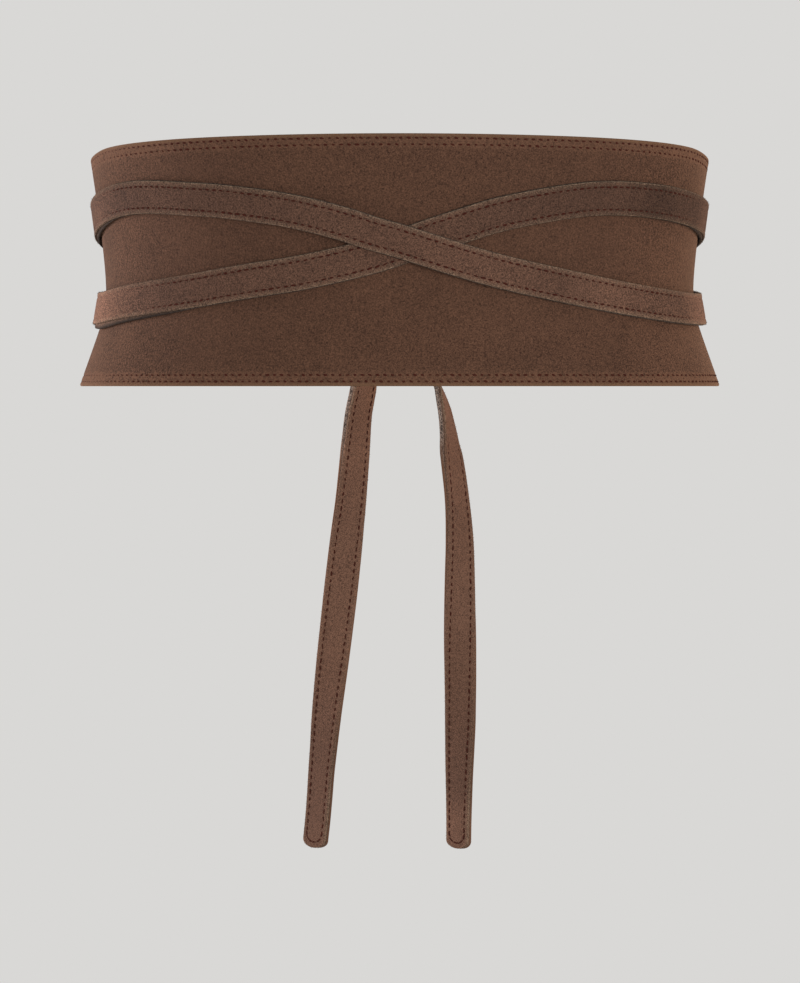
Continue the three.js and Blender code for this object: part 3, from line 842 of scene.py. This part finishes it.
fuzz = add_node(fuzz_tree, "GeometryNodeInstanceOnPoints", {
    "Points": roots.outputs[0], "Instance": fibre.outputs[0],
    "Rotation": turned(fuzz_tree, roots.outputs["Rotation"], lean),
    "Scale": random_number(fuzz_tree, *FUZZ_SIZES, given["Seed"]),
})
finish_tree(fuzz_tree, fuzz.outputs[0], given["Suede"])


# From here to here, in millimetres, a slipped backing shows at the edge, and there the edge is
# painted darker as painted shade.
PAINTED_SHADE_AT_SLIP = (0.2, 1.1)


def slip_painted_shade(tree):
    """How far the backing is out of its place, from nought to one: the mask of painted shade."""
    slip = maths(tree, "ABSOLUTE", attribute_value(tree, "slip"))
    return eased(tree, slip, PAINTED_SHADE_AT_SLIP[0] * MM, PAINTED_SHADE_AT_SLIP[1] * MM)


TIE_GRAIN = [(60, 0.3, 2), (14, 0.2, 2), (3, 0.12, 2), (1.0, 0.9, 2), (0.5, 1.9, 1)]
TIE_DEEP = screen_colour(36, 23, 18)
TIE_LIGHT = screen_colour(86, 62, 50)
TIE_CUT_DEEP = screen_colour(46, 36, 29)
TIE_CUT_LIGHT = screen_colour(124, 105, 88)
# The backing's colours: round the waist they are painted darker, as painted shade, than where it
# hangs.
BACKING_SHADED_DEEP = screen_colour(22, 18, 17)
BACKING_SHADED_LIGHT = screen_colour(62, 54, 49)
BACKING_HANGING_DEEP = screen_colour(40, 35, 33)
BACKING_HANGING_LIGHT = screen_colour(112, 98, 90)
BACKING_BROWN = screen_colour(78, 55, 42)
# From where to where along the hanging part, as shares of it, each change comes in. The first two
# are painted light: the hanging tie is painted lighter, and its backing leaves the painted shade
# it has round the waist. The rest are changes of finish.
TIE_CHANGES = {
    "lighter": (0, 0.12), "out_of_painted_shade": (0.02, 0.2), "less_worn": (0.05, 0.2), "smoother": (0.2, 0.3),
    "brown_edge": (0.24, 0.33), "tip_worn": (0.75, 0.95), "tip_rougher": (0.8, 0.92),
}
# How far in from the edges, in millimetres, the suede is worn and the backing is brown.
TIE_WORN = (2.4, 0.4)
BACKING_BROWN_EDGE = (0.45, 0.2)
# How worn the edges are round the waist and where the tie hangs, how much more so at its tip, and
# how far, in millimetres, the worn patches stray in and out.
TIE_WEAR = {"waist": 0.33, "hanging": 0.1, "tip_more": 0.2, "stray": 6}
# How much more the grain shows toward the sides, as painted raking light, and how much painted
# light lifts the tie as it hangs, where the belt above would shade it.
TIE_RAKING_LIGHT_GRAIN = 0.8
TIE_PAINTED_LIGHT = 0.22
# The speckle in the worn suede and the cut: its strength and its middle.
TIE_SPECKLE = (2.6, 0.42)
# The raw cut: how ragged it is, how much of it shows, how much less where it hangs smoother, how
# much of that the rougher tip takes back, how much lighter than worn suede it is, and its shade.
TIE_CUT = {
    "ragged": 2.4, "shows": 0.8, "less_if_smoother": 0.75, "tip_rougher": 0.4, "lighter": 0.35,
    "shadow": 0.6,
}
# How strong the backing's two grains are, how low they start, and how much painted shade darkens
# it where it has slipped.
TIE_BACKING = {"grain": 2.4, "fine_grain": 4.4, "start": -1.7, "shadow": 0.8}
tie_material, tree = material_tree("tie_suede")
mottle, layers = suede_pattern(tree, TIE_GRAIN)
# Painted raking light: the grain is painted stronger toward both sides.
mottle = side_lit_grain(tree, mottle, TIE_RAKING_LIGHT_GRAIN)
hanging = attribute_value(tree, "hanging")
change = {label: eased(tree, hanging, *zone) for label, zone in TIE_CHANGES.items()}
# Painted light: the hanging tie is painted lighter.
mottle = times_plus(tree, change["lighter"], TIE_PAINTED_LIGHT, mottle)
suede_colour = mixed(tree, mottle, TIE_DEEP, TIE_LIGHT)

# The suede is worn paler in loose patches along both edges, and less so where it hangs freely.
loose = either_way(tree, layers[3])
inset = attribute_value(tree, "inset")
worn_inset = times_plus(tree, loose, TIE_WEAR["stray"] * MM, inset)
worn = eased(tree, worn_inset, TIE_WORN[0] * MM, TIE_WORN[1] * MM)
less = TIE_WEAR["hanging"] - TIE_WEAR["waist"]
wear = times_plus(tree, change["less_worn"], less, TIE_WEAR["waist"])
worn = times(tree, worn, times_plus(tree, change["tip_worn"], TIE_WEAR["tip_more"], wear))
speckle = times_plus(tree, either_way(tree, layers[4]), *TIE_SPECKLE)
worn_colour = mixed(tree, speckle, TIE_CUT_DEEP, TIE_CUT_LIGHT)
suede_colour = mixed(tree, worn, suede_colour, worn_colour)
# Painted light and shade along each tie, partly the nap's lie, scales the suede's colour.
nap = attribute_value(tree, "nap")
suede_colour = scaled(tree, suede_colour, nap)

# The cut itself is pale and ragged, darker where the backing has slipped and the cut is in shadow.
ragged = times_plus(tree, loose, TIE_CUT["ragged"], attribute_value(tree, "raw"))
smoother = times_plus(tree, change["tip_rougher"], -TIE_CUT["tip_rougher"], change["smoother"])
cut = times_plus(tree, smoother, -TIE_CUT["less_if_smoother"], TIE_CUT["shows"])
cut = times(tree, eased(tree, ragged, 0.5, 1), cut)
slip_shade = slip_painted_shade(tree)
cut_light = maths(tree, "ADD", speckle, TIE_CUT["lighter"])
cut_light = times_plus(tree, slip_shade, -TIE_CUT["shadow"], cut_light)
cut_colour = mixed(tree, cut_light, TIE_CUT_DEEP, TIE_CUT_LIGHT)
suede_colour = mixed(tree, cut, suede_colour, cut_colour)

# The backing is coarse and dark, painted darker round the waist as painted shade and lighter where
# it hangs, and then brown at its very edge.
coarse = times_plus(tree, layers[4], TIE_BACKING["fine_grain"], TIE_BACKING["start"])
coarse = times_plus(tree, loose, TIE_BACKING["grain"], coarse)
backing_deep = mixed(tree, change["out_of_painted_shade"], BACKING_SHADED_DEEP, BACKING_HANGING_DEEP)
backing_light = mixed(tree, change["out_of_painted_shade"], BACKING_SHADED_LIGHT, BACKING_HANGING_LIGHT)
backing_colour = mixed(tree, coarse, backing_deep, backing_light)
brown = eased(tree, inset, BACKING_BROWN_EDGE[0] * MM, BACKING_BROWN_EDGE[1] * MM)
brown = times(tree, change["brown_edge"], brown)
backing_colour = mixed(tree, brown, backing_colour, BACKING_BROWN)
# The backing takes the same painted light and shade, and painted shade where it has slipped.
backing_shade = times(tree, times_plus(tree, slip_shade, -TIE_BACKING["shadow"], 1.0), nap)
backing_colour = scaled(tree, backing_colour, backing_shade)
suede_colour = mixed(tree, attribute_value(tree, "backing"), suede_colour, backing_colour)
suede_shader(tree, suede_colour, nap_height(tree, layers), depth=0.8 * MM, sheen=0.04)

FUZZ_GRAIN = [(2, 0.6, 1), (0.6, 0.8, 1)]
FUZZ_DEEP = screen_colour(52, 39, 31)
FUZZ_LIGHT = screen_colour(114, 96, 79)
fuzz_material, tree = material_tree("raw_edge_fuzz")
mottle, layers = suede_pattern(tree, FUZZ_GRAIN)
fuzz_colour = mixed(tree, mottle, FUZZ_DEEP, FUZZ_LIGHT)
# Fuzz at a slipped edge takes the backing's darker colour, as painted shade.
fuzz_colour = mixed(tree, slip_painted_shade(tree), fuzz_colour, BACKING_SHADED_LIGHT)
suede_shader(tree, fuzz_colour, layers[1], depth=0.1 * MM, sheen=0.04)


def on_tie(stations, at, reach, face):
    """Points on a tie's outer face (1) or inner face (-1), at lengths along it and distances from
    its middle, with the way out of that face."""
    centre, across, outward = (
        np.column_stack([np.interp(at, stations["at"], column) for column in stations[label].T])
        for label in ("centre", "across", "outward")
    )
    splay, slip = (np.interp(at, stations["at"], stations[label]) for label in ("splay", "slip"))
    rise = TIE_SEAM_RISE["outer"] if face > 0 else TIE_SEAM_RISE["inner"] - splay
    pulled_and_side_lit = np.maximum(np.interp(np.abs(outward[:, 0]), TIE_SIDEWAYS, [0, 1]),
                        np.clip(np.abs(slip) / TIE_PULLED_SLIP, 0, 1))
    proud = TIE_STITCH["proud"] - TIE_SIDE_SINK * pulled_and_side_lit
    sewn = TIE_THICKNESS * rise + face * proud
    return centre + across * reach[:, None] + outward * sewn[:, None], outward * face


def seam_line(stations, face, start=0.0):
    """The line that the stitches take on a tie: down one edge, round its tip and back up, and
    then round the tip a second time."""
    turn_at = stations["at"][-1] - TIE_SEAM_INSET - TIE_TIP_LENGTH
    straight = np.arange(start, turn_at, TIE_SEAM_STEP)
    half_turn = np.linspace(0, math.pi, TIE_TIP_SEAM_POINTS)
    seam_half = np.interp(straight, stations["at"], stations["half_width"] - TIE_SEAM_INSET)
    round_tip = turn_at + TIE_TIP_LENGTH * np.sin(half_turn)
    tip_reach = seam_half[-1] * np.cos(half_turn)
    at = np.concatenate([straight, round_tip, straight[::-1]])
    reach = np.concatenate([seam_half, tip_reach, -seam_half[::-1]])
    return on_tie(stations, at, reach, face), on_tie(stations, round_tip, tip_reach, face)


for name, route, tail, cut_length, seed in (
    ("tie_over", OVER_ROUTE, OVER_TAIL, 1.08, 11),
    ("tie_under", UNDER_ROUTE, UNDER_TAIL, 1.077, 23),
):
    stations = tie_stations(route, tail)
    hang_from = stations["at"][-1] - TIE_HANGING
    hanging = np.clip((stations["at"] - hang_from) / TIE_HANGING, 0, 1)
    tie = line_object(
        name + "_suede", [stations["centre"]], centre=[stations["centre"] * MM],
        across=[stations["across"]], outward=[stations["outward"]],
        half_width=[stations["half_width"] * MM], slip=[stations["slip"] * MM],
        splay=[stations["splay"]], nap=[stations["nap"]], hanging=[hanging],
    )
    run_tree(tie, strap_tree, {
        "Section": tie_section, "Thickness": TIE_THICKNESS * MM,
        "Full Edge Width": TIE_FULL_EDGE * MM, "Suede": tie_material,
    })
    box_half = stations["half_width"][0] - TIE_SEAM_INSET
    lines = [*seam_line(stations, 1), *seam_line(stations, -1, hang_from)]
    for starts, ends in TIE_START_LINES:
        at, reach = np.linspace(starts, ends, TIE_START_POINTS).T
        lines.append(on_tie(stations, at, reach * box_half, 1))
    stitches = line_object(
        name + "_stitches", [line for line, _ in lines], outward=[out for _, out in lines],
    )
    sew(stitches, TIE_STITCH, seed)
    fuzz = new_object(name + "_raw_edge_fuzz", tie.data.copy())
    run_tree(fuzz, fuzz_tree, {
        "Density": TIE_FUZZ["density"], "Fibre Length": TIE_FUZZ["length"] * MM,
        "Fibre Width": TIE_FUZZ["width"] * MM, "Lean": TIE_FUZZ["lean"], "Seed": seed,
        "Suede": fuzz_material,
    })
    for piece in (tie, stitches, fuzz):
        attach(piece, "root")
    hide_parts(name)


# The knot is the turn of strap that holds both ties together behind. It is one plain band of the
# same suede, closed in a loop round the two of them.
KNOT_BAND_WIDTH = 8
KNOT_BAND_THICKNESS = 2
KNOT_LOOP = {"inner_out": 5.5, "outer_out": 12.7, "lower": 45.8, "upper": 62.2, "corner": 3}
KNOT_CORNER_POINTS = 9
knot_points, knot_outward = [], []
for index, (out, height, out_side, up_side) in enumerate((
    (KNOT_LOOP["inner_out"], KNOT_LOOP["lower"], -1, -1),
    (KNOT_LOOP["outer_out"], KNOT_LOOP["lower"], 1, -1),
    (KNOT_LOOP["outer_out"], KNOT_LOOP["upper"], 1, 1),
    (KNOT_LOOP["inner_out"], KNOT_LOOP["upper"], -1, 1),
)):
    for share in np.linspace(0, 1, KNOT_CORNER_POINTS):
        angle = math.radians(180 + 90 * (index + share))
        direction = np.array([0, math.cos(angle), math.sin(angle)])
        corner = np.array([
            0, TIE_BACK_DEPTH + out - out_side * KNOT_LOOP["corner"],
            height - up_side * KNOT_LOOP["corner"] - WAIST_LINE_HEIGHT,
        ])
        knot_points.append(corner + direction * KNOT_LOOP["corner"])
        knot_outward.append(direction)
knot_points, knot_outward = np.array(knot_points), np.array(knot_outward)
ones = np.ones(len(knot_points))
knot = line_object(
    "knot_suede", [knot_points], closed=True, centre=[knot_points * MM], outward=[knot_outward],
    across=[knot_points * 0 + (1, 0, 0)], half_width=[ones * KNOT_BAND_WIDTH / 2 * MM], nap=[ones],
)
run_tree(knot, strap_tree, {
    "Section": tie_section, "Thickness": KNOT_BAND_THICKNESS * MM,
    "Full Edge Width": TIE_FULL_EDGE * MM, "Suede": tie_material,
})
bpy.data.objects.remove(tie_section)
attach(knot, "root")
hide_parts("knot")


# The floor is a plain pale disc well below the hanging ties. It is matt like paper, and toward its
# rim it takes on the even pale glow of the room round it, so that no edge of it shows.
ROOM_COLOUR = screen_colour(217, 216, 214)
FLOOR_COLOUR = screen_colour(178, 177, 175)
FLOOR_HEIGHT = -0.62
FLOOR_RADIUS = 2.4
FLOOR_SIDES = 128
# From here to here, out from its middle, the floor takes on the glow.
FLOOR_GLOWS = (0.9, 2.3)
floor_mesh = bpy.data.meshes.new("floor")
floor_ring = np.linspace(0, 2 * math.pi, FLOOR_SIDES, endpoint=False)
floor_mesh.from_pydata(
    [(FLOOR_RADIUS * math.cos(a), FLOOR_RADIUS * math.sin(a), FLOOR_HEIGHT) for a in floor_ring],
    [], [list(range(FLOOR_SIDES))],
)
floor = new_object("floor", floor_mesh)
floor_material, tree = material_tree("floor")
from_middle = add_node(tree, "ShaderNodeVectorMath", {
    0: object_place(tree),
}, operation="LENGTH").outputs[1]
paper = add_node(tree, "ShaderNodeBsdfPrincipled", {
    "Base Color": FLOOR_COLOUR, "Roughness": 0.9, "Specular IOR Level": 0.1,
})
glow = add_node(tree, "ShaderNodeEmission", {"Color": ROOM_COLOUR})
rim = eased(tree, from_middle, *FLOOR_GLOWS)
floor_mix = add_node(tree, "ShaderNodeMixShader", {0: rim, 1: paper.outputs[0], 2: glow.outputs[0]})
add_node(tree, "ShaderNodeOutputMaterial", {"Surface": floor_mix.outputs[0]})
floor_mesh.materials.append(floor_material)

world = bpy.data.worlds.new("room")
world.use_nodes = True
world.node_tree.nodes["Background"].inputs["Color"].default_value = ROOM_COLOUR
bpy.context.scene.world = world

# Three soft lamps stand level with the belt, so that no part of it throws a shadow down on the
# ties: a large one in front and to the right, and a warmer one out to each side, a little behind,
# which lights the suede's edges. Each has its place, its size, its power and its colour.
SOFT_LIGHTS = [
    ("front", (0.7, -2.2, 0), (1.6, 1), 67, (1, 0.985, 0.95)),
    ("left", (-1.7, 0.6, 0), (0.9, 0.8), 60, (1, 0.87, 0.83)),
    ("right", (1.65, 0.75, 0), (0.9, 0.8), 18, (1, 0.65, 0.42)),
]
for name, spot, size, power, colour in SOFT_LIGHTS:
    light = bpy.data.lights.new(name, "AREA")
    light.shape = "RECTANGLE"
    light.size, light.size_y = size
    light.energy = power
    light.color = colour
    lamp = new_object(name, light)
    lamp.location = spot
    lamp.rotation_mode = "QUATERNION"
    lamp.rotation_quaternion = lamp.location.to_track_quat("Z", "Y")
    lamp.visible_camera = False
